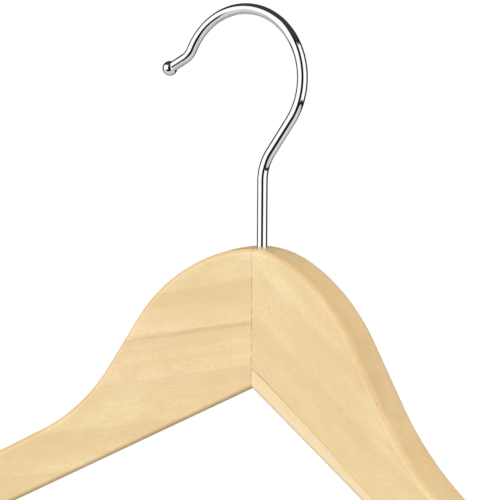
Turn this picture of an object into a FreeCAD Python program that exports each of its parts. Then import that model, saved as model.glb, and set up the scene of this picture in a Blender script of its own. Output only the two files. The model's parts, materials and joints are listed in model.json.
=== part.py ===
import FreeCAD
import Part
import math
import os

import Sketcher
from FreeCAD import Placement, Rotation, Vector

# Contoured wooden clothes hanger with a swivelling chromed wire hook. Millimetres, +Z up.
#
# The origin is where the hanger rests on a rail: the highest point of the inside of the hook's
# loop. X runs along the hanger, the rail runs along Y, and both arms sweep forward, to -Y.
#
# Every piece is drawn in one local frame, whose Z axis is the hook's stem and whose zero level
# is the top of the wood at the seam. Its Placement then carries it to the rail's frame.

SIZES = {
    # wooden arms: two flat boards, each turned forward from the hook's plane
    "board_thickness": 14.0,
    "sweep_angle": 12.0,
    "arm_reach": 227.0,
    "arm_width": 22.0,
    "slope_angle": 28.9,
    "seam_height": 53.5,
    "crown_radius": 50.0,
    "hump_radius": 69.8,
    "hump_offset": 8.0,
    "steep_angle": 57.4,
    "neck_radius": 92.0,
    "shoulder_radius": 12.0,
    "heel_radius": 6.0,
    "edge_radius": 2.0,
    # glued finger joint at the seam: one tongue and one slot on each arm
    "tongue_length": 8.0,
    "tongue_inner": 2.8,
    "tongue_outer": 5.0,
    "tongue_depth": 28.0,
    # hole for the hook
    "bore_diameter": 4.16,
    "counterbore_diameter": 9.5,
    "counterbore_depth": 22.0,
    # hook, on the wire's centreline
    "wire_diameter": 4.0,
    "loop_radius": 26.6,
    "loop_offset": 9.6,
    "loop_height": 63.7,
    "ramp_angle": 54.3,
    "stem_bend_radius": 18.3,
    "nose_bend_radius": 8.0,
    "nose_angle": 25.5,
    "ball_diameter": 5.9,
    "ball_offset": 44.1,
    "ball_height": 69.0,
    "stem_chamfer": 0.5,
    # washer and self-locking nut under the shoulder of the counterbore
    "washer_gap": 0.1,
    "washer_diameter": 9.0,
    "washer_hole": 4.3,
    "washer_thickness": 0.8,
    "nut_flats": 7.0,
    "nut_hex_height": 3.2,
    "nut_height": 5.0,
    "nut_collar_diameter": 6.3,
    "nut_lip_hole": 4.9,
    "nut_lip": 0.4,
    "insert_diameter": 5.5,
    "stem_projection": 1.6,
}

OVERSHOOT = 8.0   # each board is drawn this far past the seam before the mitre trims it
CLEAR = 30.0      # a cutting outline or sketch plane this far out is clear of the wood

doc = FreeCAD.newDocument("hanger")
sheet = doc.addObject("Spreadsheet::Sheet", "sizes")
for row, (alias, value) in enumerate(SIZES.items(), start=1):
    sheet.set(f"A{row}", alias)
    sheet.set(f"B{row}", str(value))
    sheet.setAlias(f"B{row}", alias)
doc.recompute()


def size(alias):
    """A driving dimension, as the sheet holds it."""
    return float(getattr(sheet, alias))


def bound(expression):
    """An expression in which each alias of the sheet gets the sheet's name."""
    words = expression.replace("(", "( ").replace(")", " )").split()
    return " ".join(f"sizes.{word}" if word in SIZES else word for word in words)


def number(expression):
    """The value of an expression in the sheet's aliases."""
    return float(sheet.evalExpression(bound(expression)))


def new_body(label):
    """An empty body, carried from the stem's frame to the rail's frame."""
    body = doc.addObject("PartDesign::Body", label)
    body.Label = label
    body.setExpression(".Placement.Base.x", bound("loop_offset"))
    body.setExpression(".Placement.Base.z", bound("wire_diameter / 2 - loop_height - loop_radius"))
    return body


def new_sketch(body, name, role, lift="0", turn=None):
    """A sketch on one origin plane, lifted along its normal or turned about its upright axis."""
    sketch = body.newObject("Sketcher::SketchObject", name)
    plane = next(item for item in body.Origin.OriginFeatures if item.Role == role)
    sketch.AttachmentSupport = [(plane, "")]
    sketch.MapMode = "FlatFace"
    if turn:
        sketch.AttachmentOffset = Placement(Vector(), Rotation(Vector(0, 1, 0), 1.0))
        sketch.setExpression(".AttachmentOffset.Rotation.Angle", bound(turn))
    else:
        sketch.setExpression(".AttachmentOffset.Base.z", bound(lift))
    return sketch


def dimension(sketch, name, expression, kind, *where):
    """A named dimension whose value comes from the sheet."""
    value = number(expression)
    if kind == "Angle":
        value = math.radians(value)
    index = sketch.addConstraint(Sketcher.Constraint(kind, *where, value))
    sketch.renameConstraint(index, name)
    sketch.setExpression(f"Constraints.{name}", bound(expression))


def add_circle(sketch, name, diameter):
    """A circle about the origin."""
    circle = sketch.addGeometry(Part.Circle(Vector(), Vector(0, 0, 1), size(diameter) / 2))
    sketch.addConstraint(Sketcher.Constraint("Coincident", circle, 3, -1, 1))
    dimension(sketch, name, diameter, "Diameter", circle)
    return circle


def add_polygon(sketch, corners, moves):
    """A closed polygon with every corner placed by two expressions, (across, up)."""
    count = len(corners)
    for index, corner in enumerate(corners):
        following = corners[(index + 1) % count]
        sketch.addGeometry(Part.LineSegment(Vector(*corner, 0), Vector(*following, 0)))
    for index in range(count):
        sketch.addConstraint(Sketcher.Constraint("Coincident", index, 2, (index + 1) % count, 1))
        for kind, axis in (("DistanceX", 0), ("DistanceY", 1)):
            place(sketch, f"corner{index}_{'xy'[axis]}", moves[index][axis], kind, index, 1)


def place(sketch, name, expression, kind, geometry, point):
    """One coordinate of a point, measured from the origin."""
    if expression == "0":
        axis = -2 if kind == "DistanceX" else -1
        sketch.addConstraint(Sketcher.Constraint("PointOnObject", geometry, point, axis))
    else:
        dimension(sketch, name, expression, kind, -1, 1, geometry, point)


def rectangle(sketch, across, along):
    """A rectangle between two (value, expression) pairs across and two along."""
    order = ((0, 0), (1, 0), (1, 1), (0, 1))
    corners = [(across[i][0], along[j][0]) for i, j in order]
    moves = [(across[i][1], along[j][1]) for i, j in order]
    add_polygon(sketch, corners, moves)


def line(start, end):
    return {"start": start, "end": end, "centre": None}


def arc(centre, start, end, clockwise):
    return {"start": start, "end": end, "centre": centre, "clockwise": clockwise}


def add_chain(sketch, pieces, side=1):
    """Draws lines and arcs end to end, mirrored for side -1. Gives (geometry, first, last)."""
    chain = []
    for piece in pieces:
        start, end = (Vector(side * point.x, point.y, 0) for point in (piece["start"], piece["end"]))
        if piece["centre"] is None:
            chain.append((sketch.addGeometry(Part.LineSegment(start, end)), 1, 2))
            continue
        centre = Vector(side * piece["centre"].x, piece["centre"].y, 0)
        clockwise = piece["clockwise"] == (side > 0)
        low, high = (end, start) if clockwise else (start, end)
        angles = [math.atan2(point.y - centre.y, point.x - centre.x) for point in (low, high)]
        if angles[1] < angles[0]:
            angles[1] += 2 * math.pi
        circle = Part.Circle(centre, Vector(0, 0, 1), (start - centre).Length)
        index = sketch.addGeometry(Part.ArcOfCircle(circle, *angles))
        chain.append((index, 2, 1) if clockwise else (index, 1, 2))
    return chain


def smooth(sketch, before, after):
    """Joins the end of one piece to the start of the next without a corner."""
    sketch.addConstraint(Sketcher.Constraint("Tangent", before[0], before[2], after[0], after[1]))


def meet(sketch, before, after):
    """Joins the end of one piece to the start of the next with a corner."""
    sketch.addConstraint(Sketcher.Constraint("Coincident", before[0], before[2], after[0], after[1]))


def cut(body, name, sketch, length=None, both_ways=False):
    """A pocket down from its sketch, to a length or through everything. It must remove wood."""
    before = body.Shape.Volume
    pocket = body.newObject("PartDesign::Pocket", name)
    pocket.Profile = sketch
    if both_ways:
        pocket.SideType = "Symmetric"
    if length:
        pocket.setExpression("Length", bound(length))
    else:
        pocket.Type = "ThroughAll"
    doc.recompute()
    if not body.Shape.Volume < before - 0.1:
        raise RuntimeError(f"{body.Label}: {name} removed nothing")


def heading(degrees):
    """A unit vector that points down from the horizontal by an angle."""
    return Vector(math.cos(math.radians(degrees)), -math.sin(math.radians(degrees)), 0)


def left_of(direction):
    return Vector(-direction.y, direction.x, 0)


def arm_outline():
    """The right arm seen square to its face: along the arm, and up from the top of the seam."""
    crown, hump, neck = size("crown_radius"), size("hump_radius"), size("neck_radius")
    shoulder, heel = size("shoulder_radius"), size("heel_radius")
    steep, slope = heading(size("steep_angle")), heading(size("slope_angle"))
    # the crown is level at the seam and runs into the wider hump
    crown_centre = Vector(0, -crown, 0)
    offset = size("hump_offset")
    hump_centre = crown_centre - Vector(offset, math.sqrt((hump - crown)**2 - offset**2), 0)
    crest = crown_centre + Vector(-OVERSHOOT, math.sqrt(crown**2 - OVERSHOOT**2), 0)
    crown_end = hump_centre + (crown_centre - hump_centre) * (hump / (hump - crown))
    hump_end = hump_centre + left_of(steep) * hump
    # the steep run is as long as it takes to leave the arm its width above the lower edge
    seam_foot = Vector(0, -size("seam_height"), 0)
    drop = (left_of(steep) - left_of(slope)) * neck
    spare = (hump_end + drop - seam_foot).dot(left_of(slope)) - size("arm_width")
    run = spare / -steep.dot(left_of(slope))
    neck_start = hump_end + steep * run
    neck_centre = neck_start + left_of(steep) * neck
    neck_end = neck_centre - left_of(slope) * neck
    # the end of the arm is square to its edges, with two rounded corners
    inset = size("arm_reach") - shoulder - neck_end.x
    top_run = (inset + shoulder * left_of(slope).x) / slope.x
    top_end = neck_end + slope * top_run
    shoulder_centre = top_end - left_of(slope) * shoulder
    shoulder_end = shoulder_centre + slope * shoulder
    heel_start = shoulder_end - left_of(slope) * (size("arm_width") - shoulder - heel)
    heel_centre = heel_start - slope * heel
    heel_end = heel_centre - left_of(slope) * heel
    foot = heel_end - slope * ((heel_end.x + OVERSHOOT) / slope.x)
    return [
        arc(crown_centre, crest, crown_end, True),
        arc(hump_centre, crown_end, hump_end, True),
        line(hump_end, neck_start),
        arc(neck_centre, neck_start, neck_end, False),
        line(neck_end, top_end),
        arc(shoulder_centre, top_end, shoulder_end, True),
        line(shoulder_end, heel_start),
        arc(heel_centre, heel_start, heel_end, True),
        line(heel_end, foot),
        line(foot, crest),
    ]


def place_crown(sketch, arc_piece):
    """Places a crown arc: its highest point is the top of the seam."""
    index = arc_piece[0]
    dimension(sketch, "crown_radius", "crown_radius", "Radius", index)
    sketch.addConstraint(Sketcher.Constraint("PointOnObject", -1, 1, index))
    sketch.addConstraint(Sketcher.Constraint("PointOnObject", index, 3, -2))


def draw_arm(sketch, side):
    """The constrained outline of one arm."""
    chain = add_chain(sketch, arm_outline(), side)
    crown, hump, steep, neck, top, shoulder, end, heel, bottom, seam = chain
    for before, after in zip(chain[:8], chain[1:9]):
        smooth(sketch, before, after)
    meet(sketch, bottom, seam)
    meet(sketch, seam, crown)
    place_crown(sketch, crown)
    dimension(sketch, "hump_radius", "hump_radius", "Radius", hump[0])
    dimension(sketch, "neck_radius", "neck_radius", "Radius", neck[0])
    dimension(sketch, "shoulder_radius", "shoulder_radius", "Radius", shoulder[0])
    dimension(sketch, "heel_radius", "heel_radius", "Radius", heel[0])
    sketch.addConstraint(Sketcher.Constraint("Parallel", top[0], bottom[0]))
    sketch.addConstraint(Sketcher.Constraint("Perpendicular", end[0], bottom[0]))
    sketch.addConstraint(Sketcher.Constraint("Vertical", seam[0]))
    right = side > 0
    dimension(sketch, "steep_angle", "-1 * steep_angle" if right else "steep_angle - 180",
              "Angle", steep[0])
    dimension(sketch, "slope_angle", "180 - slope_angle" if right else "slope_angle",
              "Angle", bottom[0])
    dimension(sketch, "arm_width", "arm_width", "Distance", top[0], top[1], bottom[0])
    inward, outward = ("-", "") if right else ("", "-")
    dimension(sketch, "hump_offset", f"{inward}1 * hump_offset", "DistanceX", -1, 1, hump[0], 3)
    dimension(sketch, "reach", f"{outward}1 * ( arm_reach - shoulder_radius )",
              "DistanceX", -1, 1, shoulder[0], 3)
    dimension(sketch, "overshoot", f"{-side * OVERSHOOT}", "DistanceX", -1, 1, seam[0], 1)
    foot = sketch.addGeometry(Part.Point(Vector(0, -size("seam_height"), 0)), True)
    sketch.addConstraint(Sketcher.Constraint("PointOnObject", foot, 1, -2))
    sketch.addConstraint(Sketcher.Constraint("PointOnObject", foot, 1, bottom[0]))
    dimension(sketch, "seam_height", "-1 * seam_height", "DistanceY", -1, 1, foot, 1)


def draw_trim(sketch, side):
    """The space above the other arm's crown, next to the seam: it shapes the top of the tongue."""
    outline = arm_outline()[0]
    across = 2 * OVERSHOOT
    height = math.sqrt(size("crown_radius")**2 - across**2) - size("crown_radius")
    far = Vector(across, height, 0)
    high, low = Vector(across, CLEAR, 0), Vector(-OVERSHOOT, CLEAR, 0)
    pieces = [arc(outline["centre"], outline["start"], far, True), line(far, high),
              line(high, low), line(low, outline["start"])]
    crown, far_side, roof, near_side = chain = add_chain(sketch, pieces, side)
    for before, after in zip(chain, chain[1:] + chain[:1]):
        meet(sketch, before, after)
    place_crown(sketch, crown)
    sketch.addConstraint(Sketcher.Constraint("Vertical", far_side[0]))
    sketch.addConstraint(Sketcher.Constraint("Vertical", near_side[0]))
    sketch.addConstraint(Sketcher.Constraint("Horizontal", roof[0]))
    dimension(sketch, "far", f"{side * across}", "DistanceX", -1, 1, far_side[0], 1)
    dimension(sketch, "near", f"{-side * OVERSHOOT}", "DistanceX", -1, 1, near_side[0], 1)
    dimension(sketch, "roof", f"{CLEAR}", "DistanceY", -1, 1, roof[0], 1)


def finger(sketch, side, across, y_side):
    """A finger of the joint in plan, from the seam to one side, on the front or the back."""
    reach = side * size("tongue_length") * across
    reach_rule = f"{side * across} * tongue_length"
    inner, outer = (y_side * size(name) for name in ("tongue_inner", "tongue_outer"))
    rectangle(sketch, ((0.0, "0"), (reach, reach_rule)),
              ((inner, f"{y_side} * tongue_inner"), (outer, f"{y_side} * tongue_outer")))


def make_arm(label, side):
    """One arm: a shaped board, mitred, fingered and bored at the seam."""
    body = new_body(label)
    turn = "-1 * sweep_angle" if side > 0 else "sweep_angle"
    back_turn = "sweep_angle" if side > 0 else "-1 * sweep_angle"

    outline = new_sketch(body, f"{label}_outline", "XZ_Plane", turn=turn)
    draw_arm(outline, side)
    board = body.newObject("PartDesign::Pad", f"{label}_board")
    board.Profile = outline
    board.SideType = "Symmetric"
    board.setExpression("Length", bound("board_thickness"))
    doc.recompute()

    # round every long edge of the board; the edge that the mitre removes stays square
    turned = math.radians(-side * size("sweep_angle"))
    across = Vector(-math.sin(turned), math.cos(turned), 0)
    along = Vector(math.cos(turned), math.sin(turned), 0) * side
    edges = []
    for index, edge in enumerate(board.Shape.Edges, start=1):
        first, last = edge.valueAt(edge.FirstParameter), edge.valueAt(edge.LastParameter)
        on_face = abs((last - first).dot(across)) < 1e-6
        at_seam = max(first.dot(along), last.dot(along)) < 1e-6 - OVERSHOOT
        if on_face and not at_seam:
            edges.append(f"Edge{index}")
    rounding = body.newObject("PartDesign::Fillet", f"{label}_rounding")
    rounding.Base = (board, edges)
    rounding.setExpression("Radius", bound("edge_radius"))
    doc.recompute()

    mitre = new_sketch(body, f"{label}_mitre_plan", "XY_Plane", lift=f"{CLEAR}")
    rectangle(mitre, ((0.0, "0"), (-side * CLEAR, f"{-side * CLEAR}")),
              ((-CLEAR, f"{-CLEAR}"), (CLEAR, f"{CLEAR}")))
    cut(body, f"{label}_mitre", mitre)

    slot = new_sketch(body, f"{label}_slot_plan", "XY_Plane", lift=f"{CLEAR}")
    finger(slot, side, 1, -side)
    cut(body, f"{label}_slot", slot, f"{CLEAR} + tongue_depth")

    tongue_plan = new_sketch(body, f"{label}_tongue_plan", "XY_Plane", lift="-1 * tongue_depth")
    finger(tongue_plan, side, -1, side)
    tongue = body.newObject("PartDesign::Pad", f"{label}_tongue")
    tongue.Profile = tongue_plan
    tongue.setExpression("Length", bound("tongue_depth + edge_radius"))
    doc.recompute()
    trim = new_sketch(body, f"{label}_trim_outline", "XZ_Plane", turn=back_turn)
    draw_trim(trim, -side)
    cut(body, f"{label}_trim", trim, both_ways=True)

    bore = new_sketch(body, f"{label}_bore_plan", "XY_Plane", lift=f"{CLEAR}")
    add_circle(bore, "bore", "bore_diameter")
    cut(body, f"{label}_bore", bore)
    pocket = new_sketch(body, f"{label}_counterbore_plan", "XY_Plane",
                        lift="counterbore_depth - seam_height")
    add_circle(pocket, "counterbore", "counterbore_diameter")
    cut(body, f"{label}_counterbore", pocket)
    return body


SHOULDER = "( counterbore_depth - seam_height - washer_gap )"
NUT_TOP = f"( {SHOULDER} - washer_thickness )"
STEM_END = f"( {NUT_TOP} - nut_height - stem_projection )"


def hook_route():
    """The wire's centreline: stem, bend, ramp, loop, reverse bend and nose, up from the stem's end."""
    ramp = heading(-size("ramp_angle"))
    nose = -heading(-size("nose_angle"))
    loop, bend, turn = (size(name) for name in ("loop_radius", "stem_bend_radius", "nose_bend_radius"))
    centre = Vector(-size("loop_offset"), size("loop_height"), 0)
    ramp_end = centre - left_of(ramp) * loop
    # the bend touches the upright stem and the ramp
    corner = ramp_end - ramp * (ramp_end.x / ramp.x)
    tangent = bend * math.tan(math.radians(90 - size("ramp_angle")) / 2)
    bend_start = corner - Vector(0, tangent, 0)
    bend_end = corner + ramp * tangent
    bend_centre = bend_start + Vector(bend, 0, 0)
    # the reverse bend touches the loop from outside and the nose from above
    ball = Vector(-size("ball_offset"), size("ball_height"), 0)
    above = -left_of(nose)
    away = ball + above * turn - centre
    # its centre slides back along the nose until it is one loop and one bend from the loop's centre
    half_chord = away.dot(nose)
    reach = math.sqrt(half_chord**2 - away.dot(away) + (loop + turn)**2)
    turn_centre = centre + away - nose * (half_chord - reach)
    loop_end = centre + (turn_centre - centre) * (loop / (loop + turn))
    nose_start = turn_centre - above * turn
    return [
        line(Vector(0, number(STEM_END), 0), bend_start),
        arc(bend_centre, bend_start, bend_end, True),
        line(bend_end, ramp_end),
        arc(centre, ramp_end, loop_end, False),
        arc(turn_centre, loop_end, nose_start, True),
        line(nose_start, ball),
    ]


def make_hook_wire():
    """The wire, swept along its centreline, with a chamfered threaded end."""
    body = new_body("hook_wire")
    route = new_sketch(body, "hook_route", "XZ_Plane")
    stem, bend, ramp, loop, turn, nose = chain = add_chain(route, hook_route())
    for before, after in zip(chain, chain[1:]):
        smooth(route, before, after)
    route.addConstraint(Sketcher.Constraint("PointOnObject", stem[0], stem[1], -2))
    route.addConstraint(Sketcher.Constraint("Vertical", stem[0]))
    dimension(route, "stem_end", STEM_END, "DistanceY", -1, 1, stem[0], stem[1])
    dimension(route, "stem_bend_radius", "stem_bend_radius", "Radius", bend[0])
    dimension(route, "ramp_angle", "ramp_angle", "Angle", ramp[0])
    dimension(route, "loop_radius", "loop_radius", "Radius", loop[0])
    dimension(route, "loop_offset", "-1 * loop_offset", "DistanceX", -1, 1, loop[0], 3)
    dimension(route, "loop_height", "loop_height", "DistanceY", -1, 1, loop[0], 3)
    dimension(route, "nose_bend_radius", "nose_bend_radius", "Radius", turn[0])
    dimension(route, "nose_angle", "nose_angle - 180", "Angle", nose[0])
    dimension(route, "ball_offset", "-1 * ball_offset", "DistanceX", -1, 1, nose[0], nose[2])
    dimension(route, "ball_height", "ball_height", "DistanceY", -1, 1, nose[0], nose[2])
    section = new_sketch(body, "hook_section", "XY_Plane", lift=STEM_END)
    add_circle(section, "wire", "wire_diameter")
    doc.recompute()
    wire = body.newObject("PartDesign::AdditivePipe", "hook_sweep")
    wire.Profile = section
    wire.Spine = (route, [f"Edge{index + 1}" for index in range(len(chain))])
    doc.recompute()
    foot = [f"Edge{index}" for index, edge in enumerate(wire.Shape.Edges, start=1)
            if abs(edge.BoundBox.ZMax - number(STEM_END)) < 1e-6]
    chamfer = body.newObject("PartDesign::Chamfer", "hook_chamfer")
    chamfer.Base = (wire, foot)
    chamfer.setExpression("Size", bound("stem_chamfer"))
    doc.recompute()
    return body


def make_hook_ball():
    """The ball on the nose: a sphere with a blind hole that takes the wire's end at its centre."""
    body = new_body("hook_ball")
    body.setExpression(".Placement.Base.x", bound("loop_offset - ball_offset"))
    body.setExpression(".Placement.Base.z", bound(
        "wire_diameter / 2 - loop_height - loop_radius + ball_height"))
    # its own Z axis points out of the nose, away from the wire
    body.Placement.Rotation = Rotation(Vector(0, -1, 0), 90.0)
    body.setExpression(".Placement.Rotation.Angle", bound("90 + nose_angle"))
    profile = new_sketch(body, "ball_profile", "XZ_Plane")
    ball, wire = size("ball_diameter") / 2, size("wire_diameter") / 2
    rim = -math.sqrt(ball**2 - wire**2)
    centre, seat, mouth, nose = Vector(), Vector(wire, 0, 0), Vector(wire, rim, 0), Vector(0, ball, 0)
    pieces = [line(centre, seat), line(seat, mouth), arc(centre, mouth, nose, False),
              line(nose, centre)]
    floor, wall, skin, axis = chain = add_chain(profile, pieces)
    for before, after in zip(chain, chain[1:] + chain[:1]):
        meet(profile, before, after)
    profile.addConstraint(Sketcher.Constraint("Coincident", floor[0], 1, -1, 1))
    profile.addConstraint(Sketcher.Constraint("Coincident", skin[0], 3, -1, 1))
    profile.addConstraint(Sketcher.Constraint("Horizontal", floor[0]))
    profile.addConstraint(Sketcher.Constraint("Vertical", wall[0]))
    profile.addConstraint(Sketcher.Constraint("Vertical", axis[0]))
    dimension(profile, "ball_radius", "ball_diameter / 2", "Radius", skin[0])
    dimension(profile, "wire_radius", "wire_diameter / 2", "DistanceX", -1, 1, floor[0], 2)
    return revolve(body, profile)


def revolve(body, profile, kind="Revolution", name="turning"):
    """Turns a profile once about the body's own Z axis."""
    feature = body.newObject(f"PartDesign::{kind}", f"{body.Label}_{name}")
    feature.Profile = profile
    feature.ReferenceAxis = (profile, ["V_Axis"])
    feature.Angle = 360
    doc.recompute()
    return body


def ring(label, height, inner, outer, thickness):
    """A flat ring that hangs down from a height, about the stem."""
    body = new_body(label)
    plan = new_sketch(body, f"{label}_plan", "XY_Plane", lift=height)
    add_circle(plan, "outer", outer)
    add_circle(plan, "inner", inner)
    pad = body.newObject("PartDesign::Pad", f"{label}_pad")
    pad.Profile = plan
    pad.Reversed = True
    pad.setExpression("Length", bound(thickness))
    doc.recompute()
    return body


def make_washer():
    """The plain washer that carries the wood's weight."""
    return ring("hook_washer", SHOULDER, "washer_hole", "washer_diameter", "washer_thickness")


def make_nut_insert():
    """The nut's nylon ring, which grips the thread and stops the nut from backing off."""
    return ring("nut_insert", f"{NUT_TOP} - nut_hex_height", "wire_diameter", "insert_diameter",
                "( nut_height - nut_hex_height - nut_lip )")


def make_lock_nut():
    """The nut: a hexagon against the washer, with a round collar below that holds the insert."""
    body = new_body("lock_nut")
    plan = new_sketch(body, "nut_hexagon", "XY_Plane", lift=NUT_TOP)
    radius = size("nut_flats") / math.sqrt(3)
    angles = [math.radians(60 * corner + 30) for corner in range(6)]
    corners = [(radius * math.cos(angle), radius * math.sin(angle)) for angle in angles]
    for index, corner in enumerate(corners):
        following = corners[(index + 1) % len(corners)]
        plan.addGeometry(Part.LineSegment(Vector(*corner, 0), Vector(*following, 0)))
    rim = plan.addGeometry(Part.Circle(Vector(), Vector(0, 0, 1), radius), True)
    plan.addConstraint(Sketcher.Constraint("Coincident", rim, 3, -1, 1))
    for index in range(len(corners)):
        following = (index + 1) % len(corners)
        plan.addConstraint(Sketcher.Constraint("Coincident", index, 2, following, 1))
        plan.addConstraint(Sketcher.Constraint("PointOnObject", index, 1, rim))
        if following:
            plan.addConstraint(Sketcher.Constraint("Equal", index, following))
    plan.addConstraint(Sketcher.Constraint("Vertical", 5))
    dimension(plan, "across_flats", "nut_flats / 2", "DistanceX", -1, 1, 5, 1)
    pad = body.newObject("PartDesign::Pad", "nut_blank")
    pad.Profile = plan
    pad.Reversed = True
    pad.setExpression("Length", bound("nut_height"))
    doc.recompute()

    # everything outside the collar is turned away below the hexagon
    turned = new_sketch(body, "nut_turned", "XZ_Plane")
    shoulder = f"{NUT_TOP} - nut_hex_height"
    bottom = f"{NUT_TOP} - nut_height"
    far = size("nut_flats")
    rectangle(turned, ((size("nut_collar_diameter") / 2, "nut_collar_diameter / 2"),
                       (far, "nut_flats")),
              ((number(bottom), bottom), (number(shoulder), shoulder)))
    revolve(body, turned, "Groove", "collar")
    for name, diameter, top, depth in (
            ("thread", "wire_diameter", NUT_TOP, "nut_height"),
            ("pocket", "insert_diameter", shoulder, "nut_height - nut_hex_height - nut_lip"),
            ("mouth", "nut_lip_hole", f"{bottom} + nut_lip", "nut_lip")):
        hole = new_sketch(body, f"nut_{name}_plan", "XY_Plane", lift=top)
        add_circle(hole, name, diameter)
        cut(body, f"nut_{name}", hole, depth)
    return body


make_arm("left_arm", -1)
make_arm("right_arm", 1)
make_hook_wire()
make_hook_ball()
make_washer()
make_lock_nut()
make_nut_insert()
doc.recompute()

for item in doc.Objects:
    if "Invalid" in item.State or "Error" in item.State:
        raise RuntimeError(f"{item.Name} failed: {item.State}")
for sketch in doc.findObjects("Sketcher::SketchObject"):
    if sketch.solve() != 0:
        raise RuntimeError(f"{sketch.Name} does not solve")

os.makedirs("parts", exist_ok=True)
for body in doc.findObjects("PartDesign::Body"):
    shape = body.Shape
    if shape.isNull() or not shape.isValid() or len(shape.Solids) != 1:
        raise RuntimeError(f"{body.Label} is not one sound solid")
    shape.exportStep(f"parts/{body.Label}.step")
    print(f"{body.Label}: {shape.Volume:.1f} mm3")
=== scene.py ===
import collections
import json
import math

import bmesh
import bpy
from mathutils import Euler, Matrix, Vector


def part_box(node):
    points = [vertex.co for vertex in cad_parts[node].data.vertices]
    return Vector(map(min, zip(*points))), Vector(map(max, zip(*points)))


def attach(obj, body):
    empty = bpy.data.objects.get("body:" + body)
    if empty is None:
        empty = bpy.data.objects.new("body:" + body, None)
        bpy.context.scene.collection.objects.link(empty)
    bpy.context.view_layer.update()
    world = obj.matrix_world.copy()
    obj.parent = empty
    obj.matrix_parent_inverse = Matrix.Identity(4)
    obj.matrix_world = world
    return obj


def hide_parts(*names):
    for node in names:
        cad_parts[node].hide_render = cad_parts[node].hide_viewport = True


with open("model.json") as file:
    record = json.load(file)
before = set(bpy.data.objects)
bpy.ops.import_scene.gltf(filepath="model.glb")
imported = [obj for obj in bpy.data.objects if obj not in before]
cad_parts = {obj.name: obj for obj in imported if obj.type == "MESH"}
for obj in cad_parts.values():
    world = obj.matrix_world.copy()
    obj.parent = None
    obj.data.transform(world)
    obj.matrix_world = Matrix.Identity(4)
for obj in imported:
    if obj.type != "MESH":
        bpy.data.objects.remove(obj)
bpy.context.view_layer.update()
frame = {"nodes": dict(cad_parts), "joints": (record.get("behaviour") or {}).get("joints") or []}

MM = 0.001
TURN = 2 * math.pi

# The stem is the swivel's axis, and the joint's place is where the stem leaves the top of the wood.
STEM = Vector(frame["joints"][0]["pos_m"])

# The wire's route, in millimetres from the stem's axis and the top of the wood.
WIRE_RADIUS = 2.0
LOOP_RADIUS = 26.6
LOOP_CENTRE = Vector((-9.6, 0, 63.7))
STEM_BEND_RADIUS = 18.3
RAMP_ANGLE = math.radians(54.3)
NOSE_BEND_RADIUS = 8.0
NOSE_ANGLE = math.radians(25.5)

# The ball on the nose, with a small rounded lip where the wire enters it.
BALL_CENTRE = Vector((-44.1, 0, 69.0))
BALL_RADIUS = 2.95
LIP_WIDTH = 0.12
LIP_ROUNDING = 0.1

# The M4 thread at the wire's lower end. Its flanks take up a share of each half turn's pitch, and
# the rest is a flat root.
THREAD_PITCH = 0.7
THREAD_DEPTH = 0.4
THREAD_LENGTH = 9.0
THREAD_FLANK = 0.8
TIP_CHAMFER = 0.5

# How finely the meshes are divided: millimetres between rings, and counts around and along.
THREAD_STEP = THREAD_PITCH / 10
WIRE_STEP = 0.8
WIRE_SIDES = 80
BALL_SIDES = 64
BALL_RINGS = 48
LIP_STEPS = 3

# The boards: how far each is swept forward, and the glued joint between them, in millimetres.
SWEEP_ANGLE = math.radians(12.0)
SEAM_HEIGHT = 53.5
FINGER_LENGTH = 8.0
FINGER_INNER = 2.8
FINGER_OUTER = 5.0
FINGER_DEPTH = 28.0


# ---------------------------------------------------------------- meshes

def new_object(name, bm):
    """An object in the scene from a bmesh in metres."""
    mesh = bpy.data.meshes.new(name)
    bm.to_mesh(mesh)
    bm.free()
    made = bpy.data.objects.new(name, mesh)
    bpy.context.scene.collection.objects.link(made)
    return made


def new_piece(name, bm, body, slot, *nodes):
    """A smooth-shaded piece that rides on a body and stands for CAD nodes."""
    bmesh.ops.recalc_face_normals(bm, faces=bm.faces)
    piece = new_object(name, bm)
    piece.data.polygons.foreach_set("use_smooth", [True] * len(piece.data.polygons))
    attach(piece, body)
    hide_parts(*nodes)
    return piece


def grid_faces(bm, rings):
    """Quads between successive rings of vertices."""
    for lower, upper in zip(rings, rings[1:]):
        count = len(lower)
        for index in range(count):
            following = (index + 1) % count
            bm.faces.new((lower[index], lower[following], upper[following], upper[index]))


def heading(angle):
    """The direction at an angle above +X, in the plane of the hook."""
    return Vector((math.cos(angle), 0, math.sin(angle)))


def left_of(direction):
    """A direction turned a quarter turn anticlockwise in the plane of the hook."""
    return Vector((-direction.z, 0, direction.x))


def arc_points(centre, start, end, clockwise, step):
    """Points along an arc after its start, about a step apart."""
    radius = (start - centre).length
    first = math.atan2(start.z - centre.z, start.x - centre.x)
    last = math.atan2(end.z - centre.z, end.x - centre.x)
    sweep = (first - last) % TURN if clockwise else (last - first) % TURN
    count = max(2, math.ceil(sweep * radius / step))
    sign = -1 if clockwise else 1
    return [centre + heading(first + sign * sweep * index / count) * radius
            for index in range(1, count + 1)]


def line_points(start, end, step):
    """Points along a line after its start, about a step apart."""
    count = max(1, math.ceil((end - start).length / step))
    return [start.lerp(end, index / count) for index in range(1, count + 1)]


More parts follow.
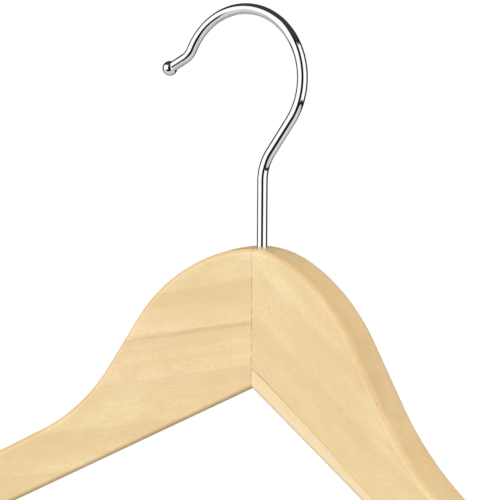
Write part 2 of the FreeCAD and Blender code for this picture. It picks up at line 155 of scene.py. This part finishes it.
def hook_route(foot, step):
    """The wire's centreline from the stem's foot to the ball."""
    ramp, nose = heading(RAMP_ANGLE), -heading(NOSE_ANGLE)
    ramp_end = LOOP_CENTRE - left_of(ramp) * LOOP_RADIUS
    corner = ramp_end - ramp * (ramp_end.x / ramp.x)
    tangent = STEM_BEND_RADIUS * math.tan((math.pi / 2 - RAMP_ANGLE) / 2)
    bend_start = corner - Vector((0, 0, tangent))
    bend_end = corner + ramp * tangent
    bend_centre = bend_start + Vector((STEM_BEND_RADIUS, 0, 0))
    # the reverse bend touches the loop from outside and the nose from above
    above = -left_of(nose)
    away = BALL_CENTRE + above * NOSE_BEND_RADIUS - LOOP_CENTRE
    half = away.dot(nose)
    reach = math.sqrt(half**2 - away.dot(away) + (LOOP_RADIUS + NOSE_BEND_RADIUS)**2)
    turn_centre = LOOP_CENTRE + away - nose * min(v for v in (half - reach, half + reach) if v > 0)
    loop_end = LOOP_CENTRE + (turn_centre - LOOP_CENTRE).normalized() * LOOP_RADIUS
    nose_start = turn_centre - above * NOSE_BEND_RADIUS
    points = [Vector((0, 0, foot))]
    points += line_points(points[0], bend_start, step)
    points += arc_points(bend_centre, bend_start, bend_end, True, step)
    points += line_points(bend_end, ramp_end, step)
    points += arc_points(LOOP_CENTRE, ramp_end, loop_end, False, step)
    points += arc_points(turn_centre, loop_end, nose_start, True, step)
    points += line_points(nose_start, BALL_CENTRE, step)
    return points


def surface_radius(height, angle):
    """The wire's radius at a height above its foot: chamfered tip, M4 thread, then plain wire."""
    lead_in = min(1.0, height / THREAD_PITCH)
    run_out = max(0.0, min(1.0, (THREAD_LENGTH - height) / THREAD_PITCH))
    groove = abs((height / THREAD_PITCH - angle / TURN) % 1.0 - 0.5) * 2
    chamfer = TIP_CHAMFER * (1 - lead_in)
    return WIRE_RADIUS - max(chamfer, THREAD_DEPTH * run_out * min(1.0, groove / THREAD_FLANK))


def make_wire():
    """The hook: the wire swept along its route, with a real thread at its lower end."""
    foot = (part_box("hook_wire")[0].z - STEM.z) / MM
    start, thread_end = Vector((0, 0, foot)), Vector((0, 0, foot + THREAD_LENGTH))
    route = [start] + line_points(start, thread_end, THREAD_STEP)
    route += [point for point in hook_route(foot, WIRE_STEP)
              if point.z > thread_end.z + WIRE_STEP / 2]
    bm = bmesh.new()
    rings = []
    for index, point in enumerate(route):
        before, after = route[max(index - 1, 0)], route[min(index + 1, len(route) - 1)]
        side = left_of((after - before).normalized())
        ring = []
        for step in range(WIRE_SIDES):
            angle = TURN * step / WIRE_SIDES
            offset = side * math.cos(angle) + Vector((0, math.sin(angle), 0))
            offset *= surface_radius(point.z - foot, angle)
            ring.append(bm.verts.new(STEM + (point + offset) * MM))
        rings.append(ring)
    grid_faces(bm, rings)
    bm.faces.new(reversed(rings[0]))
    bm.faces.new(rings[-1])
    return new_piece("chromed_wire", bm, "hook", "chrome", "hook_wire")


def lathe(bm, profile, around, place):
    """Rings of vertices, from (radius, height) points turned about the Z axis and then placed."""
    rings = []
    for radius, height in profile:
        ring = []
        for step in range(around):
            angle = TURN * step / around
            point = Vector((radius * math.cos(angle), radius * math.sin(angle), height))
            ring.append(bm.verts.new(place @ (point * MM)))
        rings.append(ring)
    return rings


def rounded(corner, before, after, radius, steps):
    """Points of a small rounding where a profile turns a corner."""
    corner, before, after = (Vector(point) for point in (corner, before, after))
    start = corner + (before - corner).normalized() * radius
    end = corner + (after - corner).normalized() * radius
    return [tuple((1 - t)**2 * start + 2 * t * (1 - t) * corner + t**2 * end)
            for t in (index / steps for index in range(steps + 1))]


def ball_point(angle):
    """A point of the ball's profile at an angle from the side that the wire enters."""
    return BALL_RADIUS * math.sin(angle), -BALL_RADIUS * math.cos(angle)


def make_ball():
    """The ball: the inside of its mouth, the rounded lip, then round to the far pole."""
    mouth_angle = math.asin((WIRE_RADIUS + LIP_WIDTH) / BALL_RADIUS)
    lip = ball_point(mouth_angle)
    profile = [(WIRE_RADIUS, 0.0)]
    profile += rounded((WIRE_RADIUS, lip[1]), (WIRE_RADIUS, 0), lip, LIP_ROUNDING, LIP_STEPS)
    profile += [ball_point(mouth_angle + (math.pi - mouth_angle) * index / BALL_RINGS)
                for index in range(BALL_RINGS)]
    bm = bmesh.new()
    turn = Matrix.Rotation(-math.pi / 2 - NOSE_ANGLE, 4, "Y")
    place = Matrix.Translation(STEM + BALL_CENTRE * MM) @ turn
    rings = lathe(bm, profile, BALL_SIDES, place)
    grid_faces(bm, rings)
    last = rings[-1]
    pole = bm.verts.new(place @ Vector((0, 0, BALL_RADIUS * MM)))
    for index, vert in enumerate(last):
        bm.faces.new((vert, last[(index + 1) % len(last)], pole))
    bm.faces.new(reversed(rings[0]))
    return new_piece("chromed_ball", bm, "hook", "chrome", "hook_ball")


# ---------------------------------------------------------------- node graphs

class Graph:
    """Short calls for building a node tree."""

    def __init__(self, tree):
        self.tree = tree

    def feed(self, socket, value):
        """Links a socket to another, or sets its number, vector or colour."""
        if isinstance(value, bpy.types.NodeSocket):
            self.tree.links.new(value, socket)
        else:
            socket.default_value = value

    def node(self, kind, **sockets):
        """A new node, with inputs given by name."""
        made = self.tree.nodes.new(kind)
        for name, value in sockets.items():
            self.feed(made.inputs[name], value)
        return made

    def math(self, operation, *values):
        """A math node's result."""
        made = self.tree.nodes.new("ShaderNodeMath")
        made.operation = operation
        for socket, value in zip(made.inputs, values):
            self.feed(socket, value)
        return made.outputs[0]

    def total(self, *values):
        """The values added together."""
        result = values[0]
        for value in values[1:]:
            result = self.math("ADD", result, value)
        return result

    def product(self, *values):
        """The values multiplied together."""
        result = values[0]
        for value in values[1:]:
            result = self.math("MULTIPLY", result, value)
        return result

    def vector(self, operation, *values):
        """A vector math node's result, a number for a dot product or a length."""
        made = self.tree.nodes.new("ShaderNodeVectorMath")
        made.operation = operation
        for socket, value in zip(made.inputs, values):
            self.feed(socket, value)
        return made.outputs["Value" if operation in ("DOT_PRODUCT", "LENGTH") else "Vector"]

    def xyz(self, vector):
        """A vector's outputs X, Y and Z, by name."""
        return self.node("ShaderNodeSeparateXYZ", Vector=vector).outputs

    def smooth(self, value, low, high, start=0.0, end=1.0):
        """start below low, end above high, and a smooth step between."""
        made = self.tree.nodes.new("ShaderNodeMapRange")
        made.interpolation_type = "SMOOTHSTEP"
        for name, given in (("Value", value), ("From Min", low), ("From Max", high),
                            ("To Min", start), ("To Max", end)):
            self.feed(made.inputs[name], given)
        return made.outputs["Result"]

    def above(self, value, edge, soft):
        """0 below an edge and 1 above it, with a smooth step as wide as soft on either side."""
        return self.smooth(self.math("SUBTRACT", value, edge), -soft, soft)

    def below(self, value, edge, soft):
        """1 below an edge and 0 above it, with a smooth step as wide as soft on either side."""
        return self.smooth(self.math("SUBTRACT", value, edge), -soft, soft, 1.0, 0.0)

    def between(self, factor, first, second):
        """The first number where the factor is 0, the second where it is 1."""
        return self.node("ShaderNodeMix", Factor=factor, A=first, B=second).outputs[0]

    def mix(self, factor, first, second, blend="MIX"):
        """The first colour where the factor is 0, blended with the second where it is 1."""
        made = self.tree.nodes.new("ShaderNodeMix")
        made.data_type = "RGBA"
        made.blend_type = blend
        for socket, value in zip((made.inputs[0], made.inputs[6], made.inputs[7]),
                                 (factor, first, second)):
            self.feed(socket, value)
        return made.outputs[2]

    def coordinate(self, kind):
        """The surface's own coordinates of a kind, such as Object or Normal."""
        return self.node("ShaderNodeTexCoord").outputs[kind]

    def millimetres_from(self, origin, turn=Matrix.Identity(3)):
        """Object position in millimetres from an origin, along the rows of a rotation."""
        mapping = self.node("ShaderNodeMapping", Vector=self.coordinate("Object"))
        mapping.inputs["Scale"].default_value = (1 / MM,) * 3
        mapping.inputs["Rotation"].default_value = turn.to_euler()
        mapping.inputs["Location"].default_value = -(turn @ (origin / MM))
        return mapping.outputs[0]

    def noise(self, place, scale, detail=2.0, roughness=0.5):
        """Fractal noise from about 0 to 1, with scale features to a unit of the place."""
        made = self.node("ShaderNodeTexNoise", Vector=place, Scale=scale, Detail=detail,
                         Roughness=roughness, Distortion=0.0)
        return made.outputs["Fac"]

    def stretched(self, place, size):
        """The place in units of a pattern's size along each axis."""
        return self.vector("MULTIPLY", place, tuple(1 / length for length in size))

    def pattern(self, place, size, detail=2.0, roughness=0.5):
        """Noise whose features have a size along each axis, in the place's own units."""
        return self.noise(self.stretched(place, size), 1.0, detail, roughness)


def srgb(red, green, blue):
    """A colour given as 0 to 255 screen values, in linear light."""
    def linear(value):
        value /= 255
        return value / 12.92 if value <= 0.04045 else ((value + 0.055) / 1.055) ** 2.4
    return (linear(red), linear(green), linear(blue), 1.0)


def new_material(name, roughness, metallic=0.0):
    """A material with its graph and its Principled shader."""
    material = bpy.data.materials.new(name)
    material.use_nodes = True
    shader = material.node_tree.nodes["Principled BSDF"]
    shader.inputs["Roughness"].default_value = roughness
    shader.inputs["Metallic"].default_value = metallic
    return material, Graph(material.node_tree), shader


def dress(piece, material):
    """Gives a piece one material all over."""
    piece.data.materials.clear()
    piece.data.materials.append(material)


# ---------------------------------------------------------------- metal and nylon

def make_chrome():
    """Bright plate over polished wire: nearly white, with the faint haze of handling."""
    clean, handled = (0.93, 0.935, 0.945, 1), (0.88, 0.89, 0.905, 1)
    material, graph, shader = new_material("bright_chrome", 0.015, 1.0)
    haze = graph.noise(graph.coordinate("Object"), 260.0, 3.0)
    graph.feed(shader.inputs["Base Color"], graph.mix(graph.smooth(haze, 0.35, 0.7), clean, handled))
    graph.feed(shader.inputs["Roughness"], graph.smooth(haze, 0.3, 0.8, 0.008, 0.02))
    return material


def make_zinc():
    """Bright zinc plate on the washer and the nut, with a fine cloudy spangle."""
    cool, warm = (0.55, 0.56, 0.58, 1), (0.68, 0.68, 0.66, 1)
    material, graph, shader = new_material("bright_zinc", 0.3, 1.0)
    spangle = graph.noise(graph.coordinate("Object"), 900.0, 3.0)
    graph.feed(shader.inputs["Base Color"], graph.mix(graph.smooth(spangle, 0.35, 0.65), cool, warm))
    graph.feed(shader.inputs["Roughness"], graph.smooth(spangle, 0.3, 0.7, 0.22, 0.4))
    return material


def make_nylon():
    """The lock nut's ring: natural nylon, slightly mottled and translucent."""
    light, dull = srgb(226, 225, 214), srgb(212, 211, 198)
    material, graph, shader = new_material("natural_nylon", 0.45)
    mottle = graph.noise(graph.coordinate("Object"), 700.0)
    graph.feed(shader.inputs["Base Color"], graph.mix(mottle, light, dull))
    shader.inputs["Subsurface Weight"].default_value = 0.2
    shader.inputs["Subsurface Radius"].default_value = (0.0006, 0.0006, 0.0005)
    return material


# ---------------------------------------------------------------- wood

# A board's marked growth line: its height above the foot of the seam and its half width in
# millimetres, how dark it is, how pale the wood beside it is, and on which side that wood lies.
Growth = collections.namedtuple("Growth", "height width dark pale pale_side")

# A board: which side of the stem it is on, how steeply its grain falls away from the stem, its
# growth line, and a number that picks its own part of the patterns.
Board = collections.namedtuple("Board", "name side grain_angle growth seed")
LEFT_BOARD = Board("left_board", -1, math.radians(12), Growth(25.5, 1.5, 0.34, 0.16, 1), 1)
RIGHT_BOARD = Board("right_board", 1, math.radians(31), Growth(7.1, 0.6, 0.7, 0.7, -1), 2)
SEED_STEP = 131.0

# What is drawn over a board's base tone, in this order: the size of its features in millimetres
# along, through and across the grain, the noise's detail and roughness, the noise values where it
# starts and is full, how strong it then is, and its tone.
Layer = collections.namedtuple("Layer", "size detail roughness starts full strength tone")
BASE_TONE = srgb(234, 205, 151)
LAYERS = {
    "cloud": Layer((55, 16, 20), 3.0, 0.5, 0.32, 0.68, 1.0, srgb(246, 223, 174)),
    "warmth": Layer((90, 30, 34), 2.0, 0.5, 0.4, 0.7, 0.6, srgb(242, 212, 165)),
    "streak": Layer((70, 5, 2.4), 3.0, 0.55, 0.45, 0.75, 0.4, srgb(230, 198, 141)),
    "fibre": Layer((16, 0.6, 0.4), 3.0, 0.6, 0.5, 0.8, 0.3, srgb(222, 189, 135)),
    "mottle": Layer((9, 4, 5), 4.0, 0.6, 0.42, 0.66, 0.4, srgb(228, 198, 145)),
    "speckle": Layer((1.3, 0.4, 0.45), 2.0, 0.7, 0.38, 0.68, 0.42, srgb(224, 192, 138)),
}

# How far a growth line wanders slowly and ripples quickly, and how far apart the fainter ones are.
WANDER = 3.5
WANDER_SIZE = (60, 20, 60)
RIPPLE = 1.6
RIPPLE_SIZE = (14, 20, 30)
YEAR_SPACING = 17.0
YEAR_STRENGTH = 0.18
PALE_TONE = srgb(252, 232, 190)
LINE_TONE = srgb(196, 160, 112)
YEAR_TONE = srgb(214, 178, 128)

# Pores, the painted shade on the edges, tops and undersides, and the glue and its uneven patches.
# Sizes are in millimetres.
PORE_SPACING = (5.2, 2.4, 1.9)
PORE_STRENGTH = 0.6
PORE_TONE = srgb(150, 112, 74)
PAINTED_EDGE_SHADE = (0.94, 0.88, 0.8, 1)
GLUE_PATCHES = (40, 40, 3.4)
GLUE_STRENGTH = 0.5
GLUE_TONE = srgb(128, 92, 58)

# The lacquer's fine unevenness, in millimetres, and how strongly the fibres show through it, with
# their relief in metres.
GRIT_SIZE = (3.0, 0.35, 0.3)
FIBRE_BUMP = 0.08
FIBRE_RELIEF = 0.00005


def board_axes(board):
    """The directions along and through a board's grain."""
    face = Vector((board.side * math.cos(SWEEP_ANGLE), -math.sin(SWEEP_ANGLE), 0))
    along = face * math.cos(board.grain_angle) - Vector((0, 0, math.sin(board.grain_angle)))
    through = Vector((math.sin(SWEEP_ANGLE), board.side * math.cos(SWEEP_ANGLE), 0))
    return along, through


def grain_place(graph, board):
    """Position in millimetres along, through and across a board's grain from the seam's foot."""
    along, through = board_axes(board)
    seam_foot = STEM - Vector((0, 0, SEAM_HEIGHT * MM))
    place = graph.millimetres_from(seam_foot, Matrix((along, through, along.cross(through))))
    return graph.vector("ADD", place, (board.seed * SEED_STEP, 0.0, 0.0))


def draw_grain(graph, place):
    """The board's tone under all of its layers, and each layer's noise by name."""
    tone = BASE_TONE
    noises = {}
    for name, layer in LAYERS.items():
        noises[name] = graph.pattern(place, layer.size, layer.detail, layer.roughness)
        amount = graph.smooth(noises[name], layer.starts, layer.full, 0.0, layer.strength)
        tone = graph.mix(amount, tone, layer.tone)
    return tone, noises


def draw_growth(graph, place, growth, streak, tone):
    """The marked growth line, with paler wood on one side of it, and fainter lines well apart."""
    wander = graph.pattern(place, WANDER_SIZE, roughness=0.4)
    ripple = graph.pattern(place, RIPPLE_SIZE)
    height = graph.total(graph.xyz(place)["Z"], graph.product(wander, WANDER),
                         graph.product(ripple, RIPPLE))
    beside = graph.math("SUBTRACT", height, growth.height + (WANDER + RIPPLE) / 2)

    away = graph.product(beside, growth.pale_side)
    pale = graph.product(graph.smooth(away, -0.2, 0.3), graph.smooth(away, 4.0, 12.0, 1.0, 0.0))
    tone = graph.mix(graph.product(pale, growth.pale), tone, PALE_TONE)

    # the line itself is broken up by the streaks
    line = graph.smooth(graph.math("ABSOLUTE", beside), growth.width / 4, growth.width, 1.0, 0.0)
    line = graph.product(line, graph.smooth(streak, 0.35, 0.6, 0.25, 1.0))
    tone = graph.mix(graph.product(line, growth.dark), tone, LINE_TONE)

    # each year darkens slowly and ends at once
    year = graph.math("FRACT", graph.math("DIVIDE", beside, YEAR_SPACING))
    year = graph.product(graph.smooth(year, 0.4, 0.97), graph.smooth(year, 0.97, 1.0, 1.0, 0.0))
    return graph.mix(graph.product(year, YEAR_STRENGTH), tone, YEAR_TONE)


def draw_pores(graph, place, tone):
    """Scattered dark pores, longer than they are wide, in a few of the cells."""
    cell = graph.node("ShaderNodeTexVoronoi", Vector=graph.stretched(place, PORE_SPACING), Scale=1.0)
    chosen = graph.smooth(graph.xyz(cell.outputs["Color"])["X"], 0.93, 0.95)
    pore = graph.product(graph.smooth(cell.outputs["Distance"], 0.05, 0.11, 1.0, 0.0), chosen)
    return graph.mix(graph.product(pore, PORE_STRENGTH), tone, PORE_TONE)


def paint_edge_shade(graph, through, tone):
    """Painted shade: surfaces that face away from the board's faces, its edges, top and underside,
    are darkened and warmed.
    """
    across_board = graph.vector("DOT_PRODUCT", graph.coordinate("Normal"), tuple(through))
    facing = graph.math("ABSOLUTE", across_board)
    return graph.mix(graph.smooth(facing, 0.86, 0.995, 1.0, 0.0), tone, PAINTED_EDGE_SHADE, "MULTIPLY")


def seam_distance(graph, from_stem, side):
    """Millimetres from a board's side of the glued seam, with its finger and its slot."""
    x, y, z = (graph.xyz(from_stem)[axis] for axis in "XYZ")
    middle, half = (FINGER_OUTER + FINGER_INNER) / 2, (FINGER_OUTER - FINGER_INNER) / 2
    mitre = graph.product(x, side)
    lateral = graph.product(y, side)
    off_finger = graph.math("ABSOLUTE", graph.math("SUBTRACT", lateral, middle))
    finger = graph.math("MINIMUM", graph.total(mitre, FINGER_LENGTH),
                        graph.math("SUBTRACT", half, off_finger))
    off_slot = graph.math("ABSOLUTE", graph.total(lateral, middle))
    slot = graph.math("MAXIMUM", graph.math("SUBTRACT", mitre, FINGER_LENGTH),
                      graph.math("SUBTRACT", off_slot, half))
    fingered = graph.math("MINIMUM", graph.math("MAXIMUM", mitre, finger), slot)
    straight = graph.math("ABSOLUTE", mitre)
    # the fingers only reach part of the way down, and the plain mitre runs on below them
    has_fingers = graph.above(z, -FINGER_DEPTH, 0.2)
    return graph.math("ABSOLUTE", graph.between(has_fingers, straight, fingered))


def draw_glue(graph, side, tone):
    """The glue line where the board meets the other, darkened unevenly."""
    from_stem = graph.millimetres_from(STEM)
    distance = seam_distance(graph, from_stem, side)
    patchy = graph.pattern(from_stem, GLUE_PATCHES, roughness=0.6)
    seam = graph.product(graph.smooth(distance, 0.07, 0.3, 1.0, 0.0),
                         graph.smooth(patchy, 0.36, 0.6, 0.3, 1.0))
    return graph.mix(graph.product(seam, GLUE_STRENGTH), tone, GLUE_TONE)


def make_wood(board):
    """Pale close-grained hardwood under clear satin lacquer."""
    material, graph, shader = new_material(board.name, 0.4)
    place = grain_place(graph, board)
    tone, noises = draw_grain(graph, place)
    tone = draw_growth(graph, place, board.growth, noises["streak"], tone)
    tone = draw_pores(graph, place, tone)
    # painted shade, darker and warmer on every surface that doesn't face across the board
    tone = paint_edge_shade(graph, board_axes(board)[1], tone)
    tone = draw_glue(graph, board.side, tone)
    graph.feed(shader.inputs["Base Color"], tone)
    grit = graph.pattern(place, GRIT_SIZE)
    graph.feed(shader.inputs["Roughness"], graph.smooth(grit, 0.3, 0.7, 0.36, 0.46))
    bump = graph.node("ShaderNodeBump", Strength=FIBRE_BUMP, Distance=FIBRE_RELIEF,
                      Height=noises["fibre"])
    graph.feed(shader.inputs["Normal"], bump.outputs[0])
    shader.inputs["Coat Weight"].default_value = 0.25
    shader.inputs["Coat Roughness"].default_value = 0.22
    return material


# ---------------------------------------------------------------- camera

CAMERA_AZIMUTH = math.radians(32.08)
CAMERA_ELEVATION = math.radians(6.88)
CAMERA_DISTANCE = 0.375
CAMERA_ROLL = math.radians(0.42)
CAMERA_SHIFT = -0.024
SENSOR_WIDTH = 36.0
FOCAL_LENGTH = 70.2
AIM_DEPTH = 1.04


def make_camera():
    """A camera that looks at the stem, just below the top of the wood."""
    aim = STEM - Vector((0, 0, AIM_DEPTH * MM))
    back = Vector((math.sin(CAMERA_AZIMUTH) * math.cos(CAMERA_ELEVATION),
                   -math.cos(CAMERA_AZIMUTH) * math.cos(CAMERA_ELEVATION),
                   math.sin(CAMERA_ELEVATION)))
    data = bpy.data.cameras.new("camera")
    data.lens = FOCAL_LENGTH
    data.sensor_width = SENSOR_WIDTH
    data.shift_x = CAMERA_SHIFT
    camera = bpy.data.objects.new("camera", data)
    bpy.context.scene.collection.objects.link(camera)
    camera.rotation_mode = "QUATERNION"
    turn = (-back).to_track_quat("-Z", "Y")
    camera.rotation_quaternion = turn @ Euler((0, 0, CAMERA_ROLL)).to_quaternion()
    camera.location = aim + back * CAMERA_DISTANCE
    bpy.context.scene.camera = camera


# ---------------------------------------------------------------- studio light

# What the chrome reflects. Places are in degrees: the bearing to the right of the camera's fixed
# azimuth, and the rise above level. A panel's top climbs by its tilt with each degree of bearing.
Panel = collections.namedtuple("Panel", "left right low high tilt")
PANELS = (Panel(-105.0, -25.0, -17.0, 53.7, 0.16), Panel(21.0, 91.0, -22.0, 42.0, 0.0))
PANEL_LIGHT = 1.1
PANEL_EDGE = 1.5
CEILING_RISE = 44.0
CEILING_EDGE = 6.0
CEILING_LIGHT = 0.035
DARKEST = 0.012
DARK_TINT = (0.88, 0.98, 1.22, 1)

# The pale table below. Its far edge drops from one rise to another between two bearings left of
# the camera, and climbs by an added amount between two on the right. Its own light fades between
# two bearings on either side, from the first level to the second.
TABLE_DROP = (-70.0, -46.0, -11.0, -49.0)
TABLE_CLIMB = (6.0, 36.0, 0.0, 21.0)
TABLE_LIGHT = (80.0, 130.0, 0.68, 0.42)

# What lights the wood: mostly from the front, some from behind, the right and above, and a little
# from everywhere. Directions are the world's, so z is -1 straight down and 1 straight up.
KEY_DIRECTION = (-0.26, -0.966, 0.0)
FRONT_LIGHT = 1.57
REAR_LIGHT = 1.0
FLANK_LIGHT = 0.72
OVERHEAD_LIGHT = 0.24
BASE_LIGHT = 0.06
UNDERSIDE_SHARE = 0.07


def panel_mask(graph, bearing, rise, panel):
    """1 inside a panel and 0 outside it."""
    top = graph.total(graph.product(bearing, panel.tilt), panel.high)
    return graph.product(graph.above(bearing, panel.left, PANEL_EDGE),
                         graph.below(bearing, panel.right, PANEL_EDGE),
                         graph.above(rise, panel.low, PANEL_EDGE),
                         graph.below(rise, top, PANEL_EDGE))


def mirrored_light(graph, direction):
    """A panel either side of the camera, a pale table below, and near darkness elsewhere."""
    x, y, z = (graph.xyz(direction)[axis] for axis in "XYZ")
    bearing = graph.math("SUBTRACT", graph.math("ARCTAN2", x, graph.product(y, -1.0)), CAMERA_AZIMUTH)
    bearing = graph.math("DEGREES", graph.math("WRAP", bearing, math.pi, -math.pi))
    rise = graph.math("DEGREES", graph.math("ARCSINE", z))
    panels = graph.math("MAXIMUM", *(panel_mask(graph, bearing, rise, panel) for panel in PANELS))
    table_edge = graph.total(graph.smooth(bearing, *TABLE_DROP), graph.smooth(bearing, *TABLE_CLIMB))
    light = graph.between(graph.below(rise, table_edge, PANEL_EDGE),
                          graph.product(panels, PANEL_LIGHT),
                          graph.smooth(graph.math("ABSOLUTE", bearing), *TABLE_LIGHT))
    ceiling = graph.above(rise, CEILING_RISE, CEILING_EDGE)
    return graph.total(light, graph.product(ceiling, CEILING_LIGHT), DARKEST)


def soft_light(graph, direction):
    """Broad light with no edges, which falls away below the horizon."""
    x, y, z = (graph.xyz(direction)[axis] for axis in "XYZ")
    towards_key = graph.vector("DOT_PRODUCT", direction, KEY_DIRECTION)
    level = graph.total(graph.smooth(towards_key, -0.25, 1.0, 0.0, FRONT_LIGHT),
                        graph.smooth(y, 0.1, 1.0, 0.0, REAR_LIGHT),
                        graph.smooth(x, 0.2, 1.0, 0.0, FLANK_LIGHT))
    level = graph.product(level, graph.smooth(z, -0.6, 0.1, UNDERSIDE_SHARE, 1.0))
    return graph.total(level, graph.smooth(z, -0.4, 0.7, 0.0, OVERHEAD_LIGHT), BASE_LIGHT)


def make_studio():
    """A white sweep, whose light on the wood is soft and whose panels show in the chrome."""
    scene = bpy.context.scene
    scene.view_settings.view_transform = "Standard"
    scene.world = bpy.data.worlds.new("studio")
    scene.world.use_nodes = True
    tree = scene.world.node_tree
    tree.nodes.clear()
    graph = Graph(tree)
    direction = graph.coordinate("Generated")
    ray = graph.node("ShaderNodeLightPath").outputs
    light = graph.between(ray["Is Glossy Ray"], soft_light(graph, direction),
                          mirrored_light(graph, direction))
    light = graph.between(ray["Is Camera Ray"], light, 1.0)
    # the unlit corners are a cold dark blue, which only the chrome shows
    shade = graph.product(graph.smooth(light, 0.03, 0.2, 1.0, 0.0), ray["Is Glossy Ray"])
    tint = graph.mix(shade, (1, 1, 1, 1), DARK_TINT)
    background = graph.node("ShaderNodeBackground", Color=tint, Strength=light)
    graph.node("ShaderNodeOutputWorld", Surface=background.outputs[0])


# ---------------------------------------------------------------- floor

FLOOR_DEPTH = 1.2
FLOOR_SIZE = 3.0
FLOOR_FADE = (0.5, 1.45)


def make_floor():
    """A pale floor far below the hanging hanger, which fades into the sweep before its edge."""
    bm = bmesh.new()
    half = FLOOR_SIZE / 2
    bm.faces.new([bm.verts.new((x, y, -FLOOR_DEPTH))
                  for x, y in ((-half, -half), (half, -half), (half, half), (-half, half))])
    floor = new_object("floor", bm)
    dull, pale = (0.82, 0.82, 0.81, 1), (0.86, 0.86, 0.85, 1)
    material, graph, shader = new_material("pale_floor", 0.7)
    place = graph.coordinate("Object")
    graph.feed(shader.inputs["Base Color"], graph.mix(graph.noise(place, 3.0), dull, pale))
    on_floor = graph.vector("MULTIPLY", place, (1.0, 1.0, 0.0))
    alpha = graph.smooth(graph.vector("LENGTH", on_floor), *FLOOR_FADE, 1.0, 0.0)
    graph.feed(shader.inputs["Alpha"], alpha)
    dress(floor, material)
    floor.visible_glossy = False
    floor.visible_diffuse = False


# ---------------------------------------------------------------- the scene

make_camera()
make_studio()
make_floor()

chrome, zinc = make_chrome(), make_zinc()
dress(make_wire(), chrome)
dress(make_ball(), chrome)
dress(frame["nodes"]["hook_washer"], zinc)
dress(frame["nodes"]["lock_nut"], zinc)
dress(frame["nodes"]["nut_insert"], make_nylon())
dress(frame["nodes"]["left_arm"], make_wood(LEFT_BOARD))
dress(frame["nodes"]["right_arm"], make_wood(RIGHT_BOARD))
